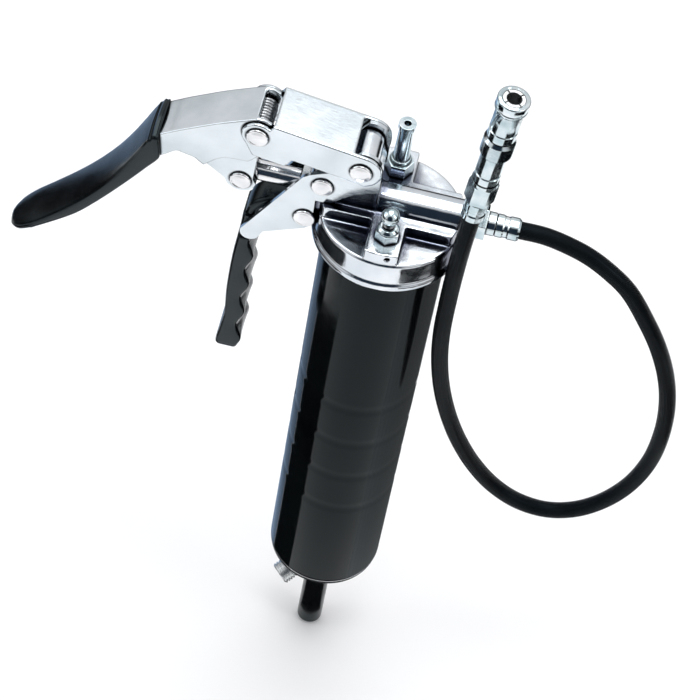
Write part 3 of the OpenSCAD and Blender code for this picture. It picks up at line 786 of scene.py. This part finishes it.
# ---------- coupler ----------

KNURL_TEETH = 40
KNURL_ROWS = 14
KNURL_DEPTH = 0.28
KNURL_FOOT, KNURL_LENGTH = 43.4, 7.6


def coupler_place():
    """The coupler's own frame: +Z up its leaning axis, from its foot on the hose."""
    return axis_place(HOSE_ROUTE[-1], MOUNTS["coupler_mouth"]["axis"])


def make_coupler_body():
    """The coupler's body, with a band of diamond knurling cut in its side."""
    shank = [(1.6, 25), (5.0, 25), (5.6, 25.6), (5.6, 29.4), (5.2, 29.8), (5.2, 30.8), (5.6, 31.2),
             (5.6, 41.6), (5.8, 42.0), (6.75, 43.2)]
    band = [(6.75, KNURL_FOOT + KNURL_LENGTH * row / KNURL_ROWS) for row in range(KNURL_ROWS + 1)]
    profile = shank + band + [(6.75, 51.2), (5.9, 52.6), (4.9, 52.9), (4.9, 60), (1.6, 60)]
    first = len(shank)

    def knurl(row, k, radius):
        if first <= row <= first + KNURL_ROWS and (row + k) % 2:
            return radius + KNURL_DEPTH
        return radius

    bm = bmesh.new()
    lathe(bm, profile, coupler_place(), segments=KNURL_TEETH * 2, radius_at=knurl)
    return finish_piece("coupler_knurled_body", bm, "coupler_body", sharp=24)


def make_coupler_sleeve():
    """The turning sleeve with its flared lip."""
    profile = [(4.96, 53.1), (5.7, 53.1), (6.1, 53.6), (6.1, 57.6), (5.75, 58.0), (5.75, 58.9),
               (6.1, 59.3), (6.1, 69.4), (6.4, 69.9), (7.0, 70.8)]
    profile += arc((6.6, 71.6), 0.55, -30, 60, 4) + [(7.05, 72.6), (7.05, 75.4)]
    profile += arc((6.25, 75.9), 0.8, 0, 75, 5) + [(5.6, 76.9), (4.96, 76.5)]
    bm = bmesh.new()
    lathe(bm, profile, coupler_place())
    return finish_piece("coupler_turning_sleeve", bm, "coupler_sleeve", sharp=35)


# ---------- studio ----------

FLOOR_NEAR = 0.9
FLOOR_FAR = 9.0
CARD_LIFT = 1.5 * MM
CARD_DARK, CARD_GREY = (0.004, 0.005, 0.006), (0.05, 0.058, 0.07)
CARD_BLUE, CARD_PALE = (0.30, 0.42, 0.60), (0.80, 0.81, 0.82)
FINGER_SIDE = (-0.052, 0)  # centre of the finger grip's card
# Reflector cards round the barrel's foot: name, colour, inner and outer radius, start and end angle
CARDS = (
    ("left_flag", CARD_DARK, 0.035, 0.2505, 54, 108),
    ("collar_flag", CARD_GREY, 0.2815, 0.300, 60, 100),
    ("blue_reflector", CARD_BLUE, 0.035, 0.95, 118, 172),
    ("blue_reflector_near", CARD_BLUE, 0.035, 0.25, 109, 118),
    ("coupler_left_flag", CARD_DARK, 0.301, 0.60, 50, 108),
    ("coupler_right_flag", CARD_DARK, 0.335, 0.60, 250, 328),
    ("finger_flag", CARD_DARK, 0.13, 0.27, 168, 190, FINGER_SIDE),
    ("rod_flag", CARD_DARK, 0.012, 0.058, -85, 85),
)
# The graded card that keeps the right of the barrel dark: strips, their angles, and its darkest grey
RIGHT_STRIPS, RIGHT_START, RIGHT_WIDTH = 12, 203, 8
RIGHT_DARKEST = 0.09


def stage_mesh(name, bm, material, height):
    """A piece of the studio, which isn't part of the object."""
    mesh = bpy.data.meshes.new(name)
    bm.to_mesh(mesh)
    bm.free()
    mesh.materials.append(material)
    made = bpy.data.objects.new(name, mesh)
    made.location = (0, 0, height)
    bpy.context.scene.collection.objects.link(made)
    return made


def sector(inner, outer, start, end, centre=(0, 0), steps=48):
    """A flat piece of a ring. Its angles run from -Y towards -X, in degrees."""
    bm = bmesh.new()
    rings = []
    for k in range(steps + 1):
        a = math.radians(start + (end - start) * k / steps)
        away = Vector((-math.sin(a), -math.cos(a), 0))
        rings.append([bm.verts.new(Vector((*centre, 0)) + away * r) for r in (inner, outer)])
    for (a, b), (c, d) in zip(rings, rings[1:]):
        bm.faces.new((a, b, d, c))
    bmesh.ops.remove_doubles(bm, verts=bm.verts, dist=1e-5)
    bmesh.ops.recalc_face_normals(bm, faces=bm.faces)
    return bm


def make_floor():
    """A wide pale floor just under the lowest part. Its far part isn't seen by the reflections."""
    s = Shader("studio_floor", 0.0, 0.85, Specular_IOR_Level=0.1)
    s.colour(s.ramp(s.noise(3, 3), (0.2, (0.87, 0.87, 0.875)), (0.8, (0.90, 0.90, 0.90))))
    height = CAD_LOW.z - 0.5 * MM
    stage_mesh("studio_floor", sector(0, FLOOR_NEAR, 0, 360), s.material, height)
    far = stage_mesh("studio_floor_far", sector(FLOOR_NEAR, FLOOR_FAR, 0, 360), s.material, height)
    far.visible_glossy = False


def glow(name, colour):
    """A plain emitter for a reflector card, of which only reflections are seen."""
    material = bpy.data.materials.new(name)
    material.use_nodes = True
    tree = material.node_tree
    tree.nodes.clear()
    emit = tree.nodes.new("ShaderNodeEmission")
    emit.inputs["Color"].default_value = (*colour, 1)
    tree.links.new(emit.outputs[0], tree.nodes.new("ShaderNodeOutputMaterial").inputs["Surface"])
    return material


def add_card(name, colour, *place):
    """A reflector card on the floor, seen in reflections only."""
    card = stage_mesh(name, sector(*place), glow(name, colour), CAD_LOW.z + CARD_LIFT)
    card.visible_camera = card.visible_diffuse = card.visible_shadow = False
    card.visible_transmission = card.visible_volume_scatter = False


def make_cards():
    """Cards that draw long dark, blue and pale bands in gloss and chrome."""
    for card in CARDS:
        add_card(*card)
    for k in range(RIGHT_STRIPS):
        grey = RIGHT_DARKEST * 10 ** (k / (RIGHT_STRIPS - 1))
        start = RIGHT_START + RIGHT_WIDTH * k
        add_card(f"right_flag_{k}", (grey * 0.94, grey, grey * 1.04),
                 0.035, 0.285, start, start + RIGHT_WIDTH)
    add_card("front_reflector", CARD_PALE, FLOOR_NEAR, 2.6, -55, 55)


class Sky:
    """The studio dome as a function of direction, painted in soft round patches."""

    def __init__(self):
        self.world = bpy.data.worlds.new("studio_dome")
        self.world.use_nodes = True
        self.tree = self.world.node_tree
        self.tree.nodes.clear()
        self.way = self.tree.nodes.new("ShaderNodeTexCoord").outputs["Generated"]

    def join(self, kind, *inputs, **settings):
        """A node with its inputs linked or set in order, and its first enabled output."""
        made = self.tree.nodes.new(kind)
        for key, value in settings.items():
            setattr(made, key, value)
        for index, value in inputs:
            if isinstance(value, bpy.types.NodeSocket):
                self.tree.links.new(value, made.inputs[index])
            else:
                made.inputs[index].default_value = value
        return next(out for out in made.outputs if out.enabled)

    def by_height(self, *stops):
        """Grey by the sine of the elevation."""
        split = self.tree.nodes.new("ShaderNodeSeparateXYZ")
        self.tree.links.new(self.way, split.inputs[0])
        level = self.join("ShaderNodeMapRange", (0, split.outputs["Z"]), (1, -1.0), (2, 1.0))
        ramp = self.tree.nodes.new("ShaderNodeValToRGB")
        elements = ramp.color_ramp.elements
        while len(elements) < len(stops):
            elements.new(0.5)
        for element, (sine, value) in zip(elements, stops):
            element.position = (sine + 1) / 2
            element.color = (value, value, value * 1.015, 1)
        self.tree.links.new(level, ramp.inputs["Fac"])
        return ramp.outputs["Color"]

    def patch(self, below, azimuth, elevation, core, edge, colour):
        """A soft round patch: azimuth runs from -Y towards -X, and core and edge are its half angles."""
        a, e = math.radians(azimuth), math.radians(elevation)
        towards = (-math.sin(a) * math.cos(e), -math.cos(a) * math.cos(e), math.sin(e))
        dot = self.tree.nodes.new("ShaderNodeVectorMath")
        dot.operation = "DOT_PRODUCT"
        self.tree.links.new(self.way, dot.inputs[0])
        dot.inputs[1].default_value = towards
        share = self.join("ShaderNodeMapRange", (0, dot.outputs["Value"]), (1, math.cos(math.radians(edge))),
                          (2, math.cos(math.radians(core))), interpolation_type="SMOOTHSTEP")
        return self.join("ShaderNodeMix", (0, share), (6, below), (7, (*colour, 1)), data_type="RGBA")


def make_sky():
    """Pale overhead with a dark horizon and front for the metal to reflect, and plain to the camera."""
    sky = Sky()
    seen = sky.by_height((-1.0, 0.02), (-0.03, 0.02), (0.06, 0.58), (0.20, 0.82), (0.45, 0.85),
                         (1.0, 0.95))
    seen = sky.patch(seen, 0, 22, 26, 38, (0.020, 0.032, 0.050))
    seen = sky.patch(seen, 200, 62, 10, 30, (1.0, 1.02, 1.05))
    seen = sky.patch(seen, 0, 79, 4, 7, (12.0, 12.2, 12.5))
    light = sky.join("ShaderNodeBackground", (0, seen), (1, 0.9))
    plain = sky.join("ShaderNodeBackground", (0, (1, 1, 1, 1)), (1, 1.0))
    eye = sky.tree.nodes.new("ShaderNodeLightPath").outputs["Is Camera Ray"]
    both = sky.join("ShaderNodeMixShader", (0, eye), (1, light), (2, plain))
    sky.tree.links.new(both, sky.tree.nodes.new("ShaderNodeOutputWorld").inputs["Surface"])
    bpy.context.scene.world = sky.world


def add_softbox(name, at, aim, width, height, power, tint=(1, 1, 1)):
    """A rectangular area light, aimed at a point, in metres and watts."""
    data = bpy.data.lights.new(name, "AREA")
    data.shape = "RECTANGLE"
    data.size, data.size_y = width, height
    data.energy = power
    data.color = tint
    light = bpy.data.objects.new(name, data)
    light.location = at
    light.rotation_euler = (Vector(aim) - Vector(at)).to_track_quat("-Z", "Y").to_euler()
    bpy.context.scene.collection.objects.link(light)


def add_lights():
    """Soft light from above and from both sides."""
    aim = (0, 0, -0.1)
    add_softbox("top_softbox", (-0.1, 0.6, 2.2), aim, 1.8, 1.8, 26)
    add_softbox("left_softbox", (-2.0, -0.4, 1.2), aim, 0.9, 1.8, 8, (0.93, 0.96, 1.0))
    add_softbox("right_softbox", (1.9, -0.5, 1.4), aim, 0.6, 1.6, 8)


# ---------- the scene ----------

# Name, CAD node, voxel size in mm, relaxing passes
SOFTENED = (("cast_head", "head_casting", 0.5, 7), ("pressed_link", "link_channel", 0.36, 14),
            ("pressed_handle", "handle_channel", 0.42, 12))
# Name, CAD node, width of its rounded corners in mm, segments of each
DRESSED = (("pressed_bracket", "grip_bracket", 0.35, 3), ("pressed_lugs", "handle_lugs", 0.35, 3),
           ("turned_filler", "filler_body", 0.25, 2), ("turned_bleeder", "bleeder_body", 0.25, 2),
           ("hexagon_outlet", "outlet_adapter", 0.4, 2), ("hexagon_coupler", "coupler_adapter", 0.4, 2),
           ("hexagon_gland", "gland_nut", 0.35, 2), ("bent_lever", "lock_lever", 0.3, 3),
           ("plunger_bar", "plunger", 0.35, 2))

add_camera()
bpy.context.scene.view_settings.view_transform = "Standard"
hose, hose_path, hose_length = make_hose()
paint_cad_nodes()
make_barrel()
make_end_cap()
for soft in SOFTENED:
    softened(*soft)
make_pins()
make_return_spring()
for plain in DRESSED:
    dressed(*plain)
make_palm_grip()
make_finger_grip()
make_coupler_body()
make_coupler_sleeve()
make_floor()
make_cards()
make_sky()
add_lights()
